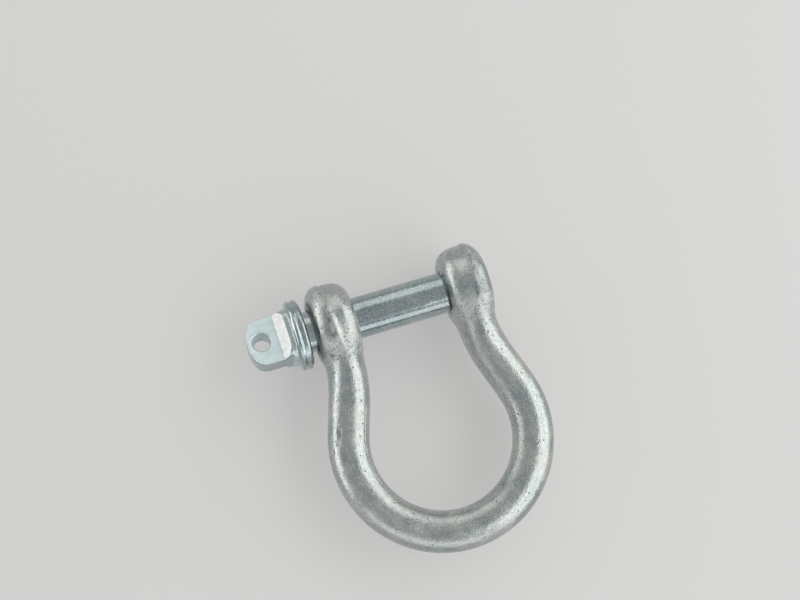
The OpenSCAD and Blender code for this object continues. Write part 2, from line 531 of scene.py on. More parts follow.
@dataclass(frozen=True)
class BowPath:
    """The centre line of the bow's bar, from the pin's axis down one leg to the crown.

    It runs straight, bends outwards, runs straight along the flare and goes round the
    crown. A distance along it is counted from the pin's axis.
    """

    eye_x: float
    bend_radius: float
    flare: float
    crown_radius: float
    crown_drop: float

    @property
    def flare_end_y(self) -> float:
        """Height at which the flare runs into the crown."""
        return self.crown_radius * math.sin(self.flare) - self.crown_drop

    @property
    def flare_length(self) -> float:
        """Length of the straight flare."""
        bend_out = self.bend_radius * (1.0 - math.cos(self.flare))
        spread = self.crown_radius * math.cos(self.flare) - self.eye_x - bend_out
        return spread / math.sin(self.flare)

    @property
    def bend_y(self) -> float:
        """Height at which the bend starts."""
        rise = self.flare_length * math.cos(self.flare)
        return self.flare_end_y + rise + self.bend_radius * math.sin(self.flare)

    @property
    def bend_end(self) -> float:
        """Distance at which the bend ends."""
        return -self.bend_y + self.bend_radius * self.flare

    @property
    def flare_end(self) -> float:
        """Distance at which the crown starts."""
        return self.bend_end + self.flare_length

    @property
    def end(self) -> float:
        """Distance to the bottom of the crown."""
        return self.flare_end + self.crown_radius * (math.pi / 2.0 + self.flare)

    def place(self, distance: float) -> tuple[float, float]:
        """The X and Y of the centre line at a distance, on the +X leg."""
        if distance < -self.bend_y:
            return self.eye_x, -distance
        if distance < self.bend_end:
            turn = (distance + self.bend_y) / self.bend_radius
            out = self.bend_radius * (1.0 - math.cos(turn))
            return self.eye_x + out, self.bend_y - self.bend_radius * math.sin(turn)
        if distance < self.flare_end:
            back = self.flare_end - distance
            x = self.crown_radius * math.cos(self.flare) - back * math.sin(self.flare)
            return x, self.flare_end_y + back * math.cos(self.flare)
        turn = self.flare - (distance - self.flare_end) / self.crown_radius
        return self.crown_radius * math.cos(turn), self.crown_radius * math.sin(turn) - self.crown_drop

    def nearest(self, x: np.ndarray, y: np.ndarray) -> tuple[np.ndarray, np.ndarray]:
        """Finds the nearest place of the centre line.

        Args:
            x: X of each point, on the +X side.
            y: Y of each point.

        Returns:
            The distance along the centre line, and how far the point lies outside it
            in the bow's plane, negative towards the inside of the bow.
        """
        along_leg = np.clip(-y, 0.0, -self.bend_y)
        legs = [(along_leg, self.eye_x + 0.0 * x, -along_leg, 0.0 * x)]

        bend_x = self.eye_x + self.bend_radius
        turn = np.clip(np.arctan2(self.bend_y - y, bend_x - x), 0.0, self.flare)
        bend = (bend_x - self.bend_radius * np.cos(turn), self.bend_y - self.bend_radius * np.sin(turn))
        legs.append((-self.bend_y + turn * self.bend_radius, *bend, turn))

        foot_x = self.crown_radius * math.cos(self.flare)
        sine, cosine = math.sin(self.flare), math.cos(self.flare)
        back = (foot_x - x) * sine + (y - self.flare_end_y) * cosine
        back = np.clip(back, 0.0, self.flare_length)
        slant = (foot_x - back * sine, self.flare_end_y + back * cosine)
        legs.append((self.flare_end - back, *slant, self.flare + 0.0 * x))

        turn = np.clip(np.arctan2(y + self.crown_drop, x), -math.pi / 2.0, self.flare)
        round_x = self.crown_radius * np.cos(turn)
        round_y = self.crown_radius * np.sin(turn) - self.crown_drop
        legs.append((self.flare_end + (self.flare - turn) * self.crown_radius, round_x, round_y, turn))

        gaps = np.stack([np.hypot(x - leg[1], y - leg[2]) for leg in legs])
        choice = gaps.argmin(axis=0)
        distance, foot_x, foot_y, heading = (
            np.choose(choice, [leg[part] for leg in legs]) for part in range(4)
        )
        outside = (x - foot_x) * np.cos(heading) + (y - foot_y) * np.sin(heading)
        return distance, np.copysign(gaps.min(axis=0), outside)


@dataclass(frozen=True)
class Dent:
    """A small dark dent that the forging left in the bow's skin."""

    place: tuple[float, float, float]
    run: tuple[float, float]
    length: float
    width: float
    depth: float

    def share(self, points: Points) -> np.ndarray:
        """How far each point lies in the dent, from 0 outside it to 1 at its bottom."""
        gap = points - np.array(self.place) * MM
        along = gap[:, 0] * self.run[0] + gap[:, 1] * self.run[1]
        across = (gap * gap).sum(axis=1) - along * along
        return np.exp(-((along / self.length) ** 2) - across / self.width**2)


@dataclass(frozen=True)
class BowSizes:
    """Sizes of the forged bow, and of the marks that its dies and its trimming left.

    The ranges called rise are heights round the pin's axis, as BowShape.rise gives them.
    """

    DENTS = (
        Dent((-37.1, -40.8, 6.7), (0.29, 0.957), 1.9 * MM, 0.75 * MM, 0.35 * MM),
        Dent((-31.5, -12.5, 9.8), (0.96, 0.28), 1.3 * MM, 0.8 * MM, 0.3 * MM),
        Dent((-25.5, -14.6, 12.1), (0.7, 0.71), 0.9 * MM, 0.7 * MM, 0.2 * MM),
    )

    jaw: float = 36.5 * MM
    eye_width: float = 16.5 * MM
    eye_rim: float = 5.5 * MM
    eye_draft: float = math.radians(6.0)
    flash_offset: float = 1.5 * MM
    flash_skew: float = 1.4 * MM
    flash_height: float = 0.4 * MM
    flash_slope: float = 3.0 * MM
    flash_drop: float = 1.7 * MM
    flash_drop_share: float = 0.6
    flash_depth: float = 4.0 * MM
    flash_rise: Range = (-0.75, -0.35)
    mismatch: float = 0.35 * MM
    mismatch_start: float = 0.1 * MM
    # Where the flash's scar lies, whose darkening is partly painted shade.
    trim_at_top: float = 0.8 * MM
    trim_at_leg: float = 6.0 * MM
    trim_edge: Range = (-0.4 * MM, 0.2 * MM)
    trim_widening_rise: Range = (0.42, -0.34)
    trim_foot_rise: Range = (-0.5, -0.36)
    trim_top_rise: Range = (0.9, 0.5)
    wear_place: float = 10.0 * MM
    wear_reach: float = 5.5 * MM
    wear_on_neck: float = 0.8
    wear_past_flash: float = 1.0 * MM
    wear_width: float = 1.6 * MM
    wear_inside_rim: Range = (-2.0 * MM, -1.0 * MM)
    wear_outside_rim: Range = (3.0 * MM, 1.0 * MM)
    neck_thickness: float = 14.6 * MM
    neck_width: float = 27.0 * MM
    neck_start: float = 4.0 * MM
    neck_end: float = 33.0 * MM
    bar: float = 15.8 * MM
    crown_bar: float = 16.0 * MM
    crown_inside: float = 54.5 * MM
    flare: float = math.radians(18.5)
    bend_radius: float = 55.0 * MM
    plain_hole: float = 17.6 * MM
    hole_chamfer: float = 0.8 * MM
    forging_blend: float = 2.0 * MM
    edge_blend: float = 0.7 * MM
    seam_angle: float = math.radians(38.0)
    seam_fade: float = 8.0 * MM
    seam_away: float = 5.0 * MM
    cell: float = 0.48 * MM
    crease_deg: float = 60.0
    skin: ZincSkin = ZincSkin(dip=0.05 * MM, ripple=0.02 * MM, pit=0.15 * MM, seed=0.3)

    @property
    def eye_radius(self) -> float:
        """Outside radius of the eyes, from the frame."""
        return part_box("bow")[1].z

    @property
    def eye_x(self) -> float:
        """Place of the middle of an eye on the pin's axis."""
        return (self.jaw + self.eye_width) / 2.0

    def path(self) -> BowPath:
        """The bar's centre line, whose crown reaches as low as the frame's box."""
        crown_radius = (self.crown_inside + self.bar) / 2.0
        drop = -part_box("bow")[0].y - crown_radius - self.crown_bar / 2.0
        return BowPath(self.eye_x, self.bend_radius, self.flare, crown_radius, drop)


class BowShape:
    """The distance field of the forged bow."""

    def __init__(self, sizes: BowSizes, thread_hole: float) -> None:
        """Takes the bow's sizes and the diameter cut for the thread."""
        self.sizes = sizes
        self.path = sizes.path()
        self.thread_hole = thread_hole

    def section(self, distance: np.ndarray) -> tuple[np.ndarray, np.ndarray]:
        """Half the bar's thickness in the bow's plane, and half its width square to it."""
        s = self.sizes
        crown = smooth_step(self.path.flare_end, self.path.end, distance)
        bar = mix(s.bar / 2.0, s.crown_bar / 2.0, crown)
        neck = smooth_step(s.neck_start, s.neck_end, distance)
        return mix(s.neck_thickness / 2.0, bar, neck), mix(s.neck_width / 2.0, bar, neck)

    def on_line(self, points: Points) -> tuple[np.ndarray, np.ndarray]:
        """The nearest place of the bar's centre line, as BowPath.nearest gives it."""
        return self.path.nearest(np.abs(points[:, 0]), points[:, 1])

    def bar(self, points: Points) -> np.ndarray:
        """Distance to the bent bar."""
        distance, outside = self.on_line(points)
        half_t, half_w = self.section(distance)
        z = points[:, 2]
        share = np.maximum(np.hypot(outside / half_t, z / half_w), TINY)
        slope = np.maximum(np.hypot(outside / half_t**2, z / half_w**2), TINY)
        return share * (share - 1.0) / slope

    @staticmethod
    def rise(points: Points) -> np.ndarray:
        """How high each point stands round the pin's axis: 1 is at the top, -1 by the leg."""
        return points[:, 1] / np.maximum(np.hypot(points[:, 1], points[:, 2]), TINY)

    def past_flash(self, points: Points) -> np.ndarray:
        """How far each point lies past the eye's flash line, towards the outside of the bow."""
        wander = self.sizes.flash_offset + self.sizes.flash_skew * self.rise(points)
        return np.abs(points[:, 0]) - self.sizes.eye_x - wander

    def eye(self, points: Points) -> np.ndarray:
        """Distance to the eyes, whose dies met a little out of line at the flash line."""
        s = self.sizes
        x, y, z = points.T
        off = np.abs(np.abs(x) - s.eye_x)
        radius = np.hypot(y, z)
        rim = s.eye_radius - s.flash_height
        past_rim = (radius + off * math.tan(s.eye_draft) - rim) * math.cos(s.eye_draft)
        body = rounded_corner(off - s.eye_width / 2.0, past_rim, s.eye_rim)
        past = self.past_flash(points)
        width = np.where(past > 0.0, s.flash_slope, s.flash_drop * s.flash_drop_share)
        lift = s.flash_height * bell(past, width)
        lift = lift - s.mismatch * smooth_step(s.mismatch_start, -s.flash_drop, past)
        away_from_leg = smooth_step(*s.flash_rise, self.rise(points))
        return body - lift * away_from_leg * smooth_step(rim - s.flash_depth, rim - MM, radius)

    def hole(self, points: Points) -> np.ndarray:
        """Distance to the holes, negative inside them."""
        s = self.sizes
        x, y, z = points.T
        into_chamfer = np.abs(np.abs(x) - s.eye_x) - s.eye_width / 2.0 + s.hole_chamfer
        radius = np.where(x < 0.0, s.plain_hole, self.thread_hole) / 2.0
        return np.hypot(y, z) - radius - np.maximum(into_chamfer, 0.0)

    def field(self, points: Points) -> np.ndarray:
        """Distance to the whole bow."""
        s = self.sizes
        solid = smooth_min(self.bar(points), self.eye(points), s.forging_blend)
        for dent in s.DENTS:
            solid = solid + dent.depth * dent.share(points)
        return smooth_max(solid, -self.hole(points), s.edge_blend)

    def dents(self, points: Points) -> np.ndarray:
        """How deep each point lies in a dent, from 0 to 1."""
        return np.maximum.reduce([dent.share(points) for dent in self.sizes.DENTS])

    def grain(self, points: Points) -> Points:
        """The points' places in the bar as if it were straight, for streaks that follow it."""
        x, y, z = points.T
        distance, outside = self.on_line(points)
        along = np.where(y > 0.0, -y, distance)
        outside = np.where(y > 0.0, np.abs(x) - self.sizes.eye_x, outside)
        return np.stack([(self.path.end - along) * np.sign(x), outside, z], axis=1)

    def wear(self, points: Points) -> np.ndarray:
        """Where the skin is pitted: where the legs leave the eyes, and beside the flash line."""
        s = self.sizes
        distance, _ = self.on_line(points)
        neck = bell(distance - s.wear_place, s.wear_reach)
        beside = bell(self.past_flash(points) - s.wear_past_flash, s.wear_width)
        past_rim = np.hypot(points[:, 1], points[:, 2]) - s.eye_radius
        rim = smooth_step(*s.wear_inside_rim, past_rim) * smooth_step(*s.wear_outside_rim, past_rim)
        return np.maximum(neck * s.wear_on_neck, beside * rim)

    def scar_and_shade(self, points: Points) -> np.ndarray:
        """The dull scar of the trimmed flash outside its line, wider towards the leg; its darkening is
        partly painted shade.
        """
        s = self.sizes
        rise = self.rise(points)
        width = mix(s.trim_at_top, s.trim_at_leg, smooth_step(*s.trim_widening_rise, rise))
        past = self.past_flash(points)
        share = np.sqrt(np.clip(1.0 - past / width, 0.0, 1.0)) * smooth_step(*s.trim_edge, past)
        ends = smooth_step(*s.trim_foot_rise, rise) * smooth_step(*s.trim_top_rise, rise)
        return share * ends * (points[:, 2] > 0.0)

    def seam(self, points: Points) -> np.ndarray:
        """Distance round the bar from the rolled seam, and large away from it."""
        s = self.sizes
        distance, outside = self.on_line(points)
        half_t, half_w = self.section(distance)
        angle = np.arctan2(points[:, 2] / half_w, -outside / half_t)
        gap = np.abs(angle - s.seam_angle) * half_t
        return gap + smooth_step(s.neck_end, s.neck_end - s.seam_fade, distance) * s.seam_away


class Bow:
    """The forged bow with its plain eye and its threaded eye."""

    LINE_STEPS = 90
    BAR_SIDES = 48
    EYE_SIDES = 64

    def __init__(self, sizes: BowSizes, thread: "Thread") -> None:
        """Takes the bow's sizes and the thread of its far eye."""
        self.sizes = sizes
        self.thread = thread
        self.shape = BowShape(sizes, thread.hole)

    def centre_line(self) -> bpy.types.Object:
        """The bar's centre line from eye to eye, as a curve."""
        path = self.shape.path
        half = [path.end * i / self.LINE_STEPS for i in range(self.LINE_STEPS + 1)]
        leg = [path.place(distance) for distance in half]
        line = [(-x, y) for x, y in leg] + leg[-2::-1]
        curve = bpy.data.curves.new("bow centre line", "CURVE")
        curve.dimensions = "3D"
        spline = curve.splines.new("POLY")
        spline.points.add(len(line) - 1)
        for point, (x, y) in zip(spline.points, line):
            point.co = (x, y, 0.0, 1.0)
        return new_piece("bow centre line", curve)

    def forge_rule(self, material: bpy.types.Material) -> Rule:
        """Sweeps the bar along the line with its changing section and adds pierced eyes."""
        s = self.sizes
        path = self.shape.path
        rule = Rule("forged bow", {
            "End": path.end, "Crown Start": path.flare_end, "Bar": s.bar,
            "Crown Bar": s.crown_bar, "Neck Thickness": s.neck_thickness,
            "Neck Width": s.neck_width, "Neck Start": s.neck_start, "Neck End": s.neck_end,
            "Eye X": s.eye_x, "Eye Width": s.eye_width, "Eye Radius": s.eye_radius - s.flash_height,
            "Plain Hole": s.plain_hole, "Thread Hole": self.thread.hole, "Material": material,
        })
        take, tree = rule.input, rule.tree
        length = tree.node("GeometryNodeSplineParameter", {}).out("Length")
        near = take("End") - abs(length - take("End"))
        crown = near.step(take("Crown Start"), take("End"))
        bar = take("Bar").toward(take("Crown Bar"), crown)
        neck = near.step(take("Neck Start"), take("Neck End"))
        half_t = take("Neck Thickness").toward(bar, neck) * 0.5
        half_w = take("Neck Width").toward(bar, neck) * 0.5

        capture = tree.node("GeometryNodeCaptureAttribute", {"domain": "POINT"})
        capture.node.capture_items.new("VECTOR", "centre")
        capture.node.capture_items.new("VECTOR", "section")
        inputs = [take("Geometry"), rule.place(), tree.join(half_t, half_t, half_w)]
        for place, wire in enumerate(inputs):
            rule.group.links.new(wire.socket, capture.node.inputs[place])
        circle = {"Resolution": self.BAR_SIDES, "Radius": 1.0}
        ring = tree.node("GeometryNodeCurvePrimitiveCircle", {}, circle)
        swept = tree.node(
            "GeometryNodeCurveToMesh", {},
            {"Curve": capture.out(0), "Profile Curve": ring.out("Curve"), "Fill Caps": True},
        ).out()
        offset = tree.vector("SUBTRACT", rule.place(), capture.out(1))
        shaped = tree.vector("MULTIPLY_ADD", offset, capture.out(2), capture.out(1))
        solid = rule.move(swept, shaped)

        def barrel(radius: Any, depth: Any, side: float) -> Wire:
            """A cylinder on the pin's axis, round the eye on one side."""
            made = tree.node(
                "GeometryNodeMeshCylinder", {},
                {"Vertices": self.EYE_SIDES, "Radius": radius, "Depth": depth},
            ).out("Mesh")
            spot = tree.join(take("Eye X") * side, 0.0, 0.0)
            values = {"Geometry": made, "Translation": spot, "Rotation": (0.0, math.pi / 2.0, 0.0)}
            return tree.node("GeometryNodeTransform", {}, values).out()

        solids = [solid]
        holes = []
        for side, label in ((-1.0, "Plain Hole"), (1.0, "Thread Hole")):
            solids.append(barrel(take("Eye Radius"), take("Eye Width"), side))
            holes.append(barrel(take(label) * 0.5, take("Eye Width") * 2.0, side))
        union = self.boolean(tree, "UNION", None, solids)
        rule.finish(self.boolean(tree, "DIFFERENCE", union, holes))
        return rule

    @staticmethod
    def boolean(tree: Tree, how: str, first: Union[Wire, None], others: list[Wire]) -> Wire:
        """One Mesh Boolean node over several meshes."""
        node = tree.node("GeometryNodeMeshBoolean", {"operation": how, "solver": "EXACT"})
        if first is not None:
            tree.nodes.links.new(first.socket, node.node.inputs[0])
        for other in others:
            tree.nodes.links.new(other.socket, node.node.inputs[1])
        return node.out("Mesh")

    def build(self, material: bpy.types.Material) -> bpy.types.Object:
        """Forges and galvanises the bow.

        Args:
            material: Its finish.

        Returns:
            The finished piece.
        """
        piece = self.centre_line()
        self.forge_rule(material).put_on(piece)
        graph = bpy.context.evaluated_depsgraph_get()
        mesh = bpy.data.meshes.new_from_object(piece.evaluated_get(graph), depsgraph=graph)
        bpy.data.objects.remove(piece)
        piece = new_piece("bow_forging", mesh)
        shape = self.shape
        Skin(shape.field, self.sizes.cell).cover(piece)
        points = points_of(piece.data)
        kept = {
            "seam": shape.seam, "dent": shape.dents, "wear": shape.wear, "scar_and_shade": shape.scar_and_shade,
            "grain": shape.grain,
        }
        for name, rule in kept.items():
            keep(piece.data, name, rule(points))
        self.sizes.skin.press_into(piece, material)
        shade_smooth(piece.data, self.sizes.crease_deg)
        return piece


# ---------------------------------------------------------------- the thread


@dataclass(frozen=True)
class Thread:
    """The metric thread that the pin's end and the far eye share."""

    diameter: float = 16.0 * MM
    pitch: float = 2.0 * MM
    depth: float = 1.2 * MM
    crest_flat: float = 0.25 * MM
    slack: float = 0.07 * MM
    inner_depth: float = 1.12 * MM
    tip_trim: float = 0.3 * MM
    wall: float = 0.5 * MM
    flank_deg: float = 30.0
    sides: int = 96
    rings_per_turn: int = 16
    crease_deg: float = 35.0

    @property
    def hole(self) -> float:
        """Diameter of the hole at the bottom of the inner thread's grooves."""
        return self.diameter + 2.0 * self.slack

    def cut(self, name: str, values: dict[str, Any]) -> bpy.types.Object:
        """Makes a round bar on the X axis with a thread, or a threaded sleeve if it is hollow.

        Args:
            name: Name of the piece.
            values: Value of each input of the tree that the pin and the eye don't share.

        Returns:
            The piece, closed, with its faces outwards.
        """
        shared = {"Pitch": self.pitch, "Crest Flat": self.crest_flat, "Sides": self.sides}
        rule = Rule("screw thread", {**shared, **values})
        take, tree = rule.input, rule.tree
        counts = {"Vertices X": take("Rings") + 4.0, "Vertices Y": take("Sides") + 1.0}
        grid = tree.node("GeometryNodeMeshGrid", {}, {"Size X": 1.0, "Size Y": 1.0, **counts})
        across, round_share, _ = tree.split(rule.place())
        # Ring 0 and those past the threaded ones close the ends; the last is for a sleeve.
        ring = (across + 0.5) * (take("Rings") + 3.0)
        share = ((ring - 1.0) / (take("Rings") - 1.0)).unit()
        is_last = ring.above(take("Rings") + 2.5)
        is_cap = (0.5 - ring).above(0.0) + ring.above(take("Rings") + 0.5)
        plain = (share / take("Plain Share")).unit()
        threaded = ((share - take("Plain Share")) / (1.0 - take("Plain Share"))).unit()
        length = take("Plain Length") * plain + take("Thread Length") * threaded
        along = take("Start") + length * (1.0 - is_last * take("Hollow"))

        phase = (along / take("Pitch") - round_share + 8.0).fraction()
        off_crest = abs(phase - 0.5) * take("Pitch") - take("Crest Flat") * 0.5
        steepness = 1.0 / math.tan(math.radians(self.flank_deg))
        drop = (off_crest.at_least(0.0) * steepness).at_most(take("Depth"))
        crest = take("Diameter") * 0.5
        shoulder = crest - (along - take("Shoulder")).at_least(0.0)
        tip = (take("Tip") - along).at_least(0.0) + crest - take("Depth") - self.tip_trim
        radius = (crest - drop).at_least(shoulder).at_most(tip)
        foot = (1.0 - (along - take("Start")) / (take("Root Fillet") * 2.0)).unit()
        radius = radius + take("Root Fillet") * foot * foot
        radius = radius.toward(take("Wall Radius"), is_cap.unit())
        turn = round_share * math.tau
        spot = tree.join(along, radius * turn.cosine(), radius * turn.sine())
        bent = {"Geometry": rule.move(grid.out("Mesh"), spot), "Distance": WELD}
        rule.finish(tree.node("GeometryNodeMergeByDistance", {}, bent).out())

        piece = new_piece(name, bpy.data.meshes.new(name))
        rule.put_on(piece)
        settle(piece)
        turn_faces_out(piece.data)
        return piece

    def sleeve(self, start: float, length: float, material: bpy.types.Material) -> bpy.types.Object:
        """The inner thread of an eye.

        Args:
            start: X at which it starts.
            length: How long it is.
            material: Its finish.

        Returns:
            The finished piece, a sleeve whose outside is sunk in the eye.
        """
        piece = self.cut("eye_thread", {
            "Start": start, "Plain Length": 0.0, "Thread Length": length, "Plain Share": 1e-4,
            "Diameter": self.hole, "Depth": self.inner_depth, "Root Fillet": TINY,
            "Shoulder": -1.0, "Tip": 1.0, "Wall Radius": self.hole / 2.0 + self.wall,
            "Hollow": 1.0, "Rings": int(length / self.pitch * self.rings_per_turn),
            "Material": material,
        })
        keep(piece.data, "grain", points_of(piece.data))
        shade_smooth(piece.data, self.crease_deg)
        return piece


# ---------------------------------------------------------------- the pin


@dataclass(frozen=True)
class PinSizes:
    """Sizes of the forged screw pin."""

    collar_thickness: float = 5.0 * MM
    collar_gap: float = 3.0 * MM
    collar_edge: float = 1.6 * MM
    collar_groove: float = 1.1 * MM
    collar_groove_depth: float = 0.35 * MM
    neck_radius: float = 11.3 * MM
    neck_length: float = 0.8 * MM
    neck_flare: float = 2.4 * MM
    top_height: float = 9.4 * MM
    ramp_top: float = 2.1 * MM
    ramp_foot: float = 5.3 * MM
    tab_width: float = 18.5 * MM
    tab_end_radius: float = 15.0 * MM
    tab_corner: float = 2.5 * MM
    neck_blend: float = 0.9 * MM
    edge_blend: float = 0.8 * MM
    ramp_blend: float = 0.5 * MM
    hole_blend: float = 1.4 * MM
    shank_fillet: float = 0.5 * MM
    groove_blend: float = 0.4 * MM
    thread_start_gap: float = 0.45 * MM
    shank_sink: float = 1.5 * MM
    plain_share: float = 0.4
    head_sink: float = 1.0 * MM
    film_on_neck: float = 0.35
    film_in_hole: float = 0.6
    film_off_face: Range = (0.35 * MM, 0.05 * MM)
    film_past_foot: Range = (0.4 * MM, -0.2 * MM)
    film_off_neck: Range = (0.6 * MM, 0.1 * MM)
    film_past_top: Range = (-0.6 * MM, 0.0)
    film_off_hole: Range = (1.3 * MM, 0.6 * MM)
    # Where the ramps' whitish film and painted highlight lie.
    white_off_face: Range = (0.0, 0.4 * MM)
    white_off_ramp: Range = (0.4 * MM, 0.1 * MM)
    cell: float = 0.24 * MM
    crease_deg: float = 55.0
    skin: ZincSkin = ZincSkin(dip=0.03 * MM, ripple=0.015 * MM, pit=0.0, seed=0.7)

    @staticmethod
    def mount(name: str) -> dict[str, Any]:
        """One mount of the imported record."""
        return next(m for m in frame["record"]["mounts"] if m["name"] == name)

    @property
    def radius(self) -> float:
        """Radius of the plain shank."""
        return self.mount("pin_seat")["dims"]["r_mm"] * MM

    @property
    def hole(self) -> tuple[float, float, float]:
        """The tab hole's X, its radius and the tab's thickness."""
        mount = self.mount("tab_eye")
        return mount["pos_m"][0], mount["dims"]["r_mm"] * MM, mount["dims"]["length_mm"] * MM

    @property
    def turn(self) -> float:
        """How far the tab is turned out of the plane of the bow."""
        _, y, z = self.mount("tab_eye")["axis"]
        return math.atan2(y, z)


class PinShape:
    """The distance field of the pin's head and collar."""

    def __init__(self, sizes: PinSizes, collar_face: float) -> None:
        """Takes the sizes, and the X of the collar's face towards the bow."""
        self.sizes = sizes
        self.collar_face = collar_face
        self.collar_back = collar_face - sizes.collar_thickness
        lowest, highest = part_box("screw_pin")
        self.head_length = self.collar_back - lowest.x
        self.collar_radius = highest.z

    def in_head(self, points: Points) -> tuple[np.ndarray, np.ndarray, np.ndarray]:
        """The points' places in the head: X from the collar's back, Y across, Z off the tab."""
        x, y, z = points.T
        sine, cosine = math.sin(self.sizes.turn), math.cos(self.sizes.turn)
        return x - self.collar_back, y * cosine - z * sine, y * sine + z * cosine

    def tab_outline(self, x: np.ndarray, y: np.ndarray) -> np.ndarray:
        """Distance to the tab's outline, seen square to its face."""
        s = self.sizes
        arc_x = s.tab_end_radius - self.head_length
        past_end = np.hypot(x - arc_x, y) - s.tab_end_radius
        past_end = np.where(x < arc_x, past_end, -1.0)
        wide = mix(s.neck_radius, s.tab_width / 2.0, smooth_step(-s.neck_length, -s.neck_flare, x))
        return rounded_corner(np.abs(y) - wide, past_end, s.tab_corner)

    def off_face(self, z: np.ndarray) -> np.ndarray:
        """Distance off the tab's two flat faces."""
        return np.abs(z) - self.sizes.hole[2] / 2.0

    def past_ramp(self, x: np.ndarray, z: np.ndarray) -> np.ndarray:
        """Distance past the ramps that lead up from the tab's faces to the neck."""
        s = self.sizes
        slope = (s.top_height - s.hole[2] / 2.0) / (s.ramp_foot - s.ramp_top)
        return (self.off_face(z) - (x + s.ramp_foot) * slope) / math.hypot(1.0, slope)

    def past_hole(self, x: np.ndarray, y: np.ndarray) -> np.ndarray:
        """Distance past the wall of the tab's hole."""
        hole_x, radius, _ = self.sizes.hole
        return np.hypot(x - hole_x + self.collar_back, y) - radius

    def faces(self, x: np.ndarray, z: np.ndarray) -> np.ndarray:
        """Distance to the tab's two flat faces and the ramps that lead up from them."""
        s = self.sizes
        sloped = smooth_min(self.off_face(z), self.past_ramp(x, z), s.ramp_blend)
        return smooth_max(sloped, np.abs(z) - s.top_height, s.ramp_blend)

    def on_face(self, points: Points) -> np.ndarray:
        """1 on the tab's flat faces, less in its hole and on the neck, or else 0."""
        s = self.sizes
        x, y, z = self.in_head(points)
        level = smooth_step(*s.film_off_face, np.abs(self.off_face(z)))
        level = level * smooth_step(*s.film_past_foot, x + s.ramp_foot)
        on_neck = smooth_step(*s.film_off_neck, np.hypot(y, z) - s.neck_radius)
        on_neck = on_neck * smooth_step(*s.film_past_top, x + s.ramp_top) * (x < 0.0)
        in_hole = smooth_step(*s.film_off_hole, self.past_hole(x, y))
        film = np.maximum(level, on_neck * s.film_on_neck)
        return np.maximum(film, in_hole * s.film_in_hole)

    def on_ramp(self, points: Points) -> np.ndarray:
        """1 on the ramps between the tab's faces and the neck, where the finish paints a highlight, or
        else 0.
        """
        s = self.sizes
        x, _, z = self.in_head(points)
        above_face = smooth_step(*s.white_off_face, self.off_face(z))
        return above_face * smooth_step(*s.white_off_ramp, np.abs(self.past_ramp(x, z)))

    def field(self, points: Points) -> np.ndarray:
        """Distance to the head and the collar."""
        s = self.sizes
        x, y, z = self.in_head(points)
        radius = np.hypot(y, z)
        head = smooth_max(self.faces(x, z), self.tab_outline(x, y), s.edge_blend)
        head = smooth_max(head, np.maximum(radius - s.neck_radius, x - s.head_sink), s.edge_blend)

        off_middle = x - s.collar_thickness / 2.0
        off = np.abs(off_middle) - s.collar_thickness / 2.0
        collar = rounded_corner(off, radius - self.collar_radius, s.collar_edge)
        ring = self.collar_radius + s.collar_groove - s.collar_groove_depth
        groove = np.hypot(off_middle, radius - ring) - s.collar_groove
        collar = smooth_max(collar, -groove, s.groove_blend)
        solid = smooth_min(head, collar, s.neck_blend)
        return smooth_max(solid, -self.past_hole(x, y), s.hole_blend)


class ScrewPin:
    """The forged pin with its shank, thread, collar and flat eye tab."""

    SAME_SPOT = 0.001 * MM
    SHORT_OF_FACE = 0.01 * MM
    ON_PLANE = 1e-7

    def __init__(self, sizes: PinSizes, bow: BowSizes, thread: Thread) -> None:
        """Takes the sizes of the pin and of the bow that it fits, and its thread."""
        self.sizes = sizes
        self.bow = bow
        self.thread = thread
        face = -bow.jaw / 2.0 - bow.eye_width - sizes.collar_gap
        self.shape = PinShape(sizes, face)

    def head(self) -> bpy.types.Object:
        """The head and the collar, as a closed forging without the shank."""
        mesh = frame["nodes"]["screw_pin"].data.copy()
        work = bmesh.new()
        work.from_mesh(mesh)
        bmesh.ops.remove_doubles(work, verts=work.verts, dist=self.SAME_SPOT)
        parts = [*work.verts, *work.edges, *work.faces]
        plane = {"plane_co": (self.shape.collar_face - self.SHORT_OF_FACE, 0.0, 0.0),
                 "plane_no": (1.0, 0.0, 0.0), "dist": self.ON_PLANE}
        cut = bmesh.ops.bisect_plane(work, geom=parts, clear_outer=True, **plane)
        rim = [e for e in cut["geom_cut"] if isinstance(e, bmesh.types.BMEdge)]
        bmesh.ops.holes_fill(work, edges=rim)
        work.to_mesh(mesh)
        work.free()
        piece = new_piece("pin_head", mesh)
        Skin(self.shape.field, self.sizes.cell).cover(piece)
        turn_faces_out(piece.data)
        return piece

    def shank(self, material: bpy.types.Material) -> bpy.types.Object:
        """The shank with its thread, from inside the collar to the tip."""
        s = self.sizes
        thread = self.thread
        start = self.shape.collar_face - s.shank_sink
        shoulder = self.bow.jaw / 2.0 - s.thread_start_gap
        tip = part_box("screw_pin")[1].x
        turns = (tip - shoulder) / thread.pitch
        return thread.cut("pin_shank", {
            "Start": start, "Plain Length": shoulder - start, "Thread Length": tip - shoulder,
            "Plain Share": s.plain_share, "Diameter": s.radius * 2.0, "Depth": thread.depth,
            "Root Fillet": s.shank_fillet, "Shoulder": shoulder, "Tip": tip, "Wall Radius": 0.0,
            "Hollow": 0.0, "Rings": int(turns * thread.rings_per_turn / (1.0 - s.plain_share)),
            "Material": material,
        })

    def build(self, material: bpy.types.Material) -> bpy.types.Object:
        """Forges the pin and puts its finish on.

        Args:
            material: Its finish.

        Returns:
            The finished piece.
        """
        piece = self.head()
        shank = self.shank(material)
        union = piece.modifiers.new("one forging", "BOOLEAN")
        union.operation = "UNION"
        union.solver = "EXACT"
        union.object = shank
        settle(piece)
        bpy.data.objects.remove(shank)
        piece.name = "pin_forging"
        points = points_of(piece.data)
        keep(piece.data, "face", self.shape.on_face(points))
        keep(piece.data, "ramp", self.shape.on_ramp(points))
        keep(piece.data, "grain", points)
        self.sizes.skin.press_into(piece, material)
        shade_smooth(piece.data, self.sizes.crease_deg)
        return piece


# ---------------------------------------------------------------- the finishes


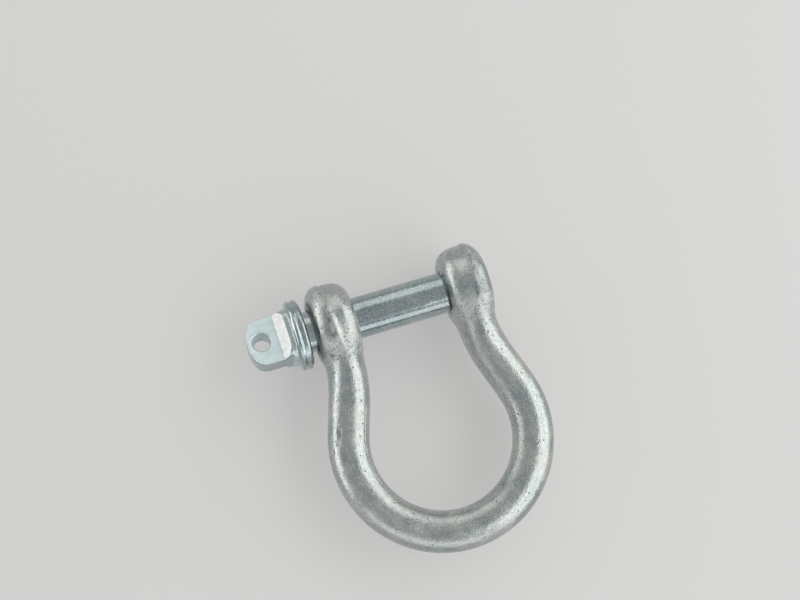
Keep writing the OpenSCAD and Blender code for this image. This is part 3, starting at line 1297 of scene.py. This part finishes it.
@dataclass(frozen=True)
class Zinc:
    """A hot-dipped zinc finish: metal under a thin pale bloom, with pits and wear.

    The bloom lies in clouds over the metal and thickly on the flats of the tab; on its ramps it is a
    whitish film that also carries a painted highlight. Beside the eye's flash line a dull scar is
    darkened further with painted shade. Streaks follow the grain of the forging, and dirt sits in the
    pits.
    """

    name: str
    cool: Colour = (0.335, 0.38, 0.385)
    warm: Colour = (0.42, 0.425, 0.4)
    bloom: Colour = (0.55, 0.59, 0.58)
    # Colour of the ramps: partly a whitish film, partly a painted highlight.
    ramp_film_and_highlight: Colour = (0.95, 0.96, 0.96)
    grime: Colour = (0.13, 0.13, 0.12)
    bloom_share: float = 0.3
    shine: float = 0.23
    roughness_spread: float = 0.22
    bump: float = 0.8
    bump_height: float = 0.22 * MM
    pitting: float = 0.1
    stretch: float = 0.45

    # Where the clouds, the wear and the specks lie.
    cloud_range: Range = (0.35, 0.65)
    worn_range: Range = (0.36, 0.54)
    speck_range: Range = (0.16, 0.46)
    speck_share: float = 0.8
    dent_gain: float = 1.3

    # How the metal's tone and shade vary.
    cloud_warmth: float = 0.6
    patch_warmth: float = 0.4
    patch_range: Range = (0.4, 0.64)
    tone_gain: float = 0.12
    streak_gain: float = 0.5
    grain_gain: float = 0.7
    glint_range: Range = (0.55, 0.75)
    glint_gain: float = 0.45
    # How much darker the flash's scar is: partly a dull scar, partly painted shade.
    scar_and_shade_dark: float = 0.55

    # Where the pale film lies, and how it fades.
    cloud_bloom: float = 0.5
    patch_bloom: float = 0.6
    bloom_cut: float = 0.1
    face_film: float = 0.9
    worn_film: float = 0.65
    film_level: float = 0.9
    patch_fade: float = 0.4
    grain_fade: float = 0.3
    ramp_streak: float = 0.45
    ramp_fade: float = 0.5

    # Where the dirt lies.
    pit_grime: float = 0.9
    dark_streak: float = 0.64
    streak_grime: float = 2.5
    grime_share: float = 0.8

    # How rough it is, and how far the film and the pits hide the metal.
    sheen_spread: float = 0.05
    smoothest: float = 0.1
    film_roughness: float = 0.3
    pit_roughness: float = 0.25
    film_dullness: float = 0.85
    pit_dullness: float = 0.5

    # How high each kind of mark stands, as a share of bump_height.
    patch_height: float = 0.25
    streak_height: float = 0.4
    grain_height: float = 0.45
    wear_height: float = 0.8
    seam_height: float = 0.5
    speck_height: float = 0.6

    # How wide the marks are.
    cloud_width: float = 12.0 * MM
    spangle_width: float = 3.0 * MM
    worn_width: float = 3.0 * MM
    patch_width: float = 2.6 * MM
    speck_spacing: float = 1.15 * MM
    streak_width: float = 0.8 * MM
    seam_width: float = 0.5 * MM
    grain_width: float = 0.45 * MM

    def material(self) -> bpy.types.Material:
        """Makes the finish as a node material."""
        made = bpy.data.materials.new(self.name)
        made.use_nodes = True
        tree = Tree(made.node_tree)
        place = tree.node("ShaderNodeTexCoord", {}).out("Object")
        along_grain = self.kept(tree, "grain", "Vector")
        drawn = tree.vector("MULTIPLY", along_grain, (self.stretch, 1.0, 1.0))

        cloud = tree.noise(place, self.cloud_width, detail=3.0).step(*self.cloud_range)
        patch = tree.noise(drawn, self.patch_width)
        streak = tree.noise(drawn, self.streak_width, rough=0.6)
        grain = tree.noise(place, self.grain_width, detail=1.0)
        tone, sheen, _ = tree.split(tree.cells(place, self.spangle_width).out("Color"))
        crater = tree.cells(place, self.speck_spacing)
        rugged = self.kept(tree, "wear")
        worn = tree.noise(place, self.worn_width, detail=1.0).step(*self.worn_range)
        worn = worn * rugged.at_least(self.pitting)
        chance = tree.split(crater.out("Color"))[0].above(1.0 - worn * self.speck_share)
        speck = (1.0 - crater.out("Distance").step(*self.speck_range)) * chance
        dent = self.kept(tree, "dent") * self.dent_gain
        pit = self.kept(tree, "pit").at_least(dent).at_least(speck).unit()
        face = self.kept(tree, "face").unit()
        ramp = self.kept(tree, "ramp").unit()
        seam = (1.0 - self.kept(tree, "seam") / self.seam_width).unit()
        scar_and_shade = self.kept(tree, "scar_and_shade").unit()

        warmth = cloud * self.cloud_warmth + patch.step(*self.patch_range) * self.patch_warmth
        metal_tone = tree.blend(self.cool, self.warm, warmth)
        shade = 1.0 + (tone - 0.5) * self.tone_gain + (streak - 0.5) * self.streak_gain
        shade = shade + (grain - 0.5) * self.grain_gain
        shade = shade + grain.step(*self.glint_range) * self.glint_gain
        # Darkens the colour beside the eye's flash line: partly a dull scar, partly painted shade.
        shade = shade * (1.0 - scar_and_shade * self.scar_and_shade_dark)
        film_and_ramp_highlight = (cloud * self.cloud_bloom + patch * self.patch_bloom - self.bloom_cut).unit()
        film_and_ramp_highlight = (film_and_ramp_highlight * self.bloom_share).at_least(face * self.face_film)
        film_and_ramp_highlight = film_and_ramp_highlight.at_least(worn * self.worn_film).at_least(ramp)
        fade = self.film_level + (patch - 0.5) * self.patch_fade + (grain - 0.5) * self.grain_fade
        fade = fade + ramp * (streak - self.ramp_streak) * self.ramp_fade
        # On the ramps the pale colour is partly a whitish film, partly a painted highlight.
        pale = self.shaded(tree, tree.blend(self.bloom, self.ramp_film_and_highlight, ramp), fade)
        colour = tree.blend(self.shaded(tree, metal_tone, shade), pale, film_and_ramp_highlight)
        lines = (streak - self.dark_streak).at_least(0.0) * self.streak_grime * (1.0 - face)
        dirt = (pit * self.pit_grime + lines).unit()
        colour = tree.blend(colour, self.grime, dirt * self.grime_share)

        rough = self.shine + (sheen - 0.5) * self.sheen_spread + (patch - 0.5) * self.roughness_spread
        rough = rough.at_least(self.smoothest) + film_and_ramp_highlight * self.film_roughness
        rough = rough + pit * self.pit_roughness
        metal = 1.0 - film_and_ramp_highlight * self.film_dullness - pit * self.pit_dullness

        height = patch * self.patch_height + streak * self.streak_height
        height = height + grain * (self.grain_height + rugged * self.wear_height)
        height = height + seam * self.seam_height - speck * self.speck_height
        values = {"Strength": self.bump, "Distance": self.bump_height, "Height": height}
        normal = tree.node("ShaderNodeBump", {}, values).out()
        shader = tree.node("ShaderNodeBsdfPrincipled", {}, {
            "Base Color": colour, "Metallic": metal.unit(), "Roughness": rough.unit(),
            "Normal": normal,
        })
        tree.node("ShaderNodeOutputMaterial", {}, [shader.out()])
        return made

    @staticmethod
    def kept(tree: Tree, name: str, output: str = "Fac") -> Wire:
        """A number or place that the mesh keeps on its vertices."""
        return tree.node("ShaderNodeAttribute", {"attribute_name": name}).out(output)

    @staticmethod
    def shaded(tree: Tree, colour: Wire, shade: Wire) -> Wire:
        """A colour made darker or lighter."""
        return tree.blend(colour, tree.join(shade, shade, shade), 1.0, "MULTIPLY")


@dataclass(frozen=True)
class Card:
    """A matt card to lay things on, which the camera and the metal see as pale.

    Near the middle it shows the shadows on it, and further out it shows one even tone.
    """

    name: str
    colour: Colour
    shown: Colour
    shown_share: float = 0.5
    mirrored_share: float = 0.9
    roughness: float = 0.9
    even_from: float = 220.0 * MM
    even_to: float = 420.0 * MM

    def material(self) -> bpy.types.Material:
        """Makes the finish as a node material."""
        made = bpy.data.materials.new(self.name)
        made.use_nodes = True
        tree = Tree(made.node_tree)
        values = {"Base Color": (*self.colour, 1.0), "Roughness": self.roughness}
        paper = tree.node("ShaderNodeBsdfPrincipled", {}, values).out()
        pale = tree.node("ShaderNodeEmission", {}, {"Color": (*self.shown, 1.0), "Strength": 1.0}).out()
        ray = tree.node("ShaderNodeLightPath", {})
        place = tree.node("ShaderNodeTexCoord", {}).out("Object")
        far = tree.vector("LENGTH", place, output=1).step(self.even_from, self.even_to)
        seen = ray.out("Is Camera Ray") * (self.shown_share + far * (1.0 - self.shown_share))
        mirrored = ray.out("Is Glossy Ray") * self.mirrored_share
        shader = tree.node("ShaderNodeMixShader", {}, [seen.at_least(mirrored), paper, pale]).out()
        tree.node("ShaderNodeOutputMaterial", {}, [shader])
        return made


# ---------------------------------------------------------------- the stage


@dataclass(frozen=True)
class View:
    """The camera: how the shackle is turned to it, and how far away it stands."""

    tip_deg: float = -8.0
    swing_deg: float = 9.0
    roll_deg: float = 16.4
    distance: float = 667.0 * MM
    aim_x: float = -0.27 * MM
    aim_y: float = -2.18 * MM
    lens_mm: float = 78.6
    sensor_mm: float = 36.0
    clip_start: float = 10.0 * MM

    def axes(self) -> Matrix:
        """Right, up and back of the camera, as the rows of a matrix."""
        roll = Matrix.Rotation(math.radians(self.roll_deg), 3, "Z")
        swing = Matrix.Rotation(math.radians(self.swing_deg), 3, "Y")
        return roll @ swing @ Matrix.Rotation(math.radians(self.tip_deg), 3, "X")

    def spot(self, right: float, up: float, back: float) -> Vector:
        """A place given in the camera's own directions from the object's middle."""
        return self.axes().transposed() @ Vector((right, up, back))

    def pose(self, place: Vector, right: float = 0.0, up: float = 0.0, back: float = 1.0) -> Matrix:
        """A place with a lamp's or camera's axes, whose back points a given way."""
        backwards = self.spot(right, up, back).normalized()
        turn = backwards.to_track_quat("Z", "Y").to_matrix().to_4x4()
        return Matrix.Translation(place) @ turn

    def build(self) -> bpy.types.Object:
        """Makes the camera and gives it to the scene."""
        camera = bpy.data.cameras.new("camera")
        camera.lens = self.lens_mm
        camera.sensor_width = self.sensor_mm
        camera.clip_start = self.clip_start
        piece = new_piece("camera", camera)
        place = self.spot(-self.aim_x, -self.aim_y, self.distance)
        piece.matrix_world = Matrix.Translation(place) @ self.axes().transposed().to_4x4()
        bpy.context.scene.camera = piece
        return piece


@dataclass(frozen=True)
class Lamp:
    """A soft rectangular lamp that looks at the object from a distance.

    Its place is given by the side that it stands on, counted from the camera's right
    towards up, and by how high it stands, from level with the floor to overhead.
    """

    name: str
    side_deg: float
    height_deg: float
    round_deg: float
    tall_deg: float
    glow: float
    colour: Colour = (1.0, 1.0, 1.0)
    distance: float = 0.9

    def build(self, view: View) -> bpy.types.Object:
        """Hangs the lamp round the object, in the camera's directions."""
        light = bpy.data.lights.new(self.name, "AREA")
        light.shape = "RECTANGLE"
        light.size = 2.0 * self.distance * math.tan(math.radians(self.round_deg / 2.0))
        light.size_y = 2.0 * self.distance * math.tan(math.radians(self.tall_deg / 2.0))
        light.energy = self.glow * math.pi * light.size * light.size_y
        light.color = self.colour
        piece = new_piece(self.name, light)
        side, height = math.radians(self.side_deg), math.radians(self.height_deg)
        level = math.cos(height)
        towards = (math.cos(side) * level, math.sin(side) * level, math.sin(height))
        place = view.spot(*towards) * self.distance
        piece.matrix_world = view.pose(place, *towards)
        return piece


class Studio:
    """The floor under the shackle, the room's light, the lamps and the camera."""

    FLOOR_REACH = 6.0
    FLOOR_GAP = 0.1 * MM
    FLOOR = Card("pale floor", (0.68, 0.675, 0.67), (0.64, 0.635, 0.63))
    ROOM: Colour = (0.51, 0.515, 0.515)
    LAMPS = (
        Lamp("high lamp at the right", 8.0, 40.0, 80.0, 26.0, 1.8, (0.99, 1.0, 0.99)),
        Lamp("low strip at the right", 0.0, 10.0, 85.0, 26.0, 1.9, (1.0, 0.985, 0.95)),
        Lamp("low strip at the left", 172.0, 15.0, 75.0, 28.0, 1.15, (1.0, 0.985, 0.96)),
        Lamp("thin strip at the left", 174.0, 5.0, 75.0, 10.0, 3.4, (1.0, 0.99, 0.97)),
        Lamp("wide lamp below", -90.0, 20.0, 80.0, 40.0, 0.95),
        Lamp("wide lamp above", 84.0, 23.0, 70.0, 36.0, 0.72, (1.0, 0.98, 0.92)),
    )

    def __init__(self, view: View) -> None:
        """Takes the camera's view, which the lamps are placed by."""
        self.view = view

    def floor(self) -> bpy.types.Object:
        """The floor that the shackle lies on."""
        mesh = bpy.data.meshes.new("floor")
        work = bmesh.new()
        bmesh.ops.create_grid(work, x_segments=1, y_segments=1, size=self.FLOOR_REACH)
        bmesh.ops.translate(work, verts=work.verts, vec=(0.0, 0.0, CAD_BOX[0][2] - self.FLOOR_GAP))
        work.to_mesh(mesh)
        work.free()
        piece = new_piece("floor", mesh)
        mesh.materials.append(self.FLOOR.material())
        return piece

    def room(self) -> None:
        """Sets the even light of the room, whose far wall has the floor's tone."""
        world = bpy.data.worlds.new("room")
        bpy.context.scene.world = world
        world.use_nodes = True
        tree = Tree(world.node_tree)
        seen = tree.node("ShaderNodeLightPath", {}).out("Is Camera Ray")
        values = {"Color": tree.blend(self.ROOM, self.FLOOR.shown, seen), "Strength": 1.0}
        shader = tree.node("ShaderNodeBackground", {}, values).out()
        tree.node("ShaderNodeOutputWorld", {}, [shader])

    def build(self) -> None:
        """Sets up the whole studio."""
        bpy.context.scene.view_settings.view_transform = "Standard"
        self.floor()
        self.room()
        for lamp in self.LAMPS:
            lamp.build(self.view)
        self.view.build()


# ---------------------------------------------------------------- the whole shackle


def put_on_body(piece: bpy.types.Object, body: Body, slot: Slot, *nodes: str) -> None:
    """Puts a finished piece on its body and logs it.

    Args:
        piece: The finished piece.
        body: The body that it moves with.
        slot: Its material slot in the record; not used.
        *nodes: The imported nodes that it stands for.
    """
    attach(piece, body.value)
    if nodes:
        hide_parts(*nodes)
    log.info("%s: %d faces on %s", piece.name, len(piece.data.polygons), body.value)


def main() -> None:
    """Builds the shackle, its stage, its lights and its camera."""
    logging.basicConfig(level=logging.INFO, format="%(name)s: %(message)s")
    thread = Thread()
    sizes = BowSizes()
    bow_zinc = Zinc("zinc on the bow").material()
    pin_zinc = Zinc(
        "zinc on the pin", cool=(0.31, 0.375, 0.395), warm=(0.36, 0.39, 0.385),
        bloom=(0.74, 0.88, 0.89), bloom_share=0.12, shine=0.13, roughness_spread=0.15, bump=0.3,
        pitting=0.0,
    ).material()

    bow = Bow(sizes, thread)
    put_on_body(bow.build(bow_zinc), Body.BOW, Slot.BOW, "bow")
    eye_start = sizes.jaw / 2.0 + sizes.hole_chamfer
    sleeve = thread.sleeve(eye_start, sizes.eye_width - 2.0 * sizes.hole_chamfer, bow_zinc)
    put_on_body(sleeve, Body.BOW, Slot.BOW)
    pin = ScrewPin(PinSizes(), sizes, thread)
    put_on_body(pin.build(pin_zinc), Body.SCREW_PIN, Slot.PIN, "screw_pin")

    Studio(View()).build()


if __name__ == "__main__":
    main()
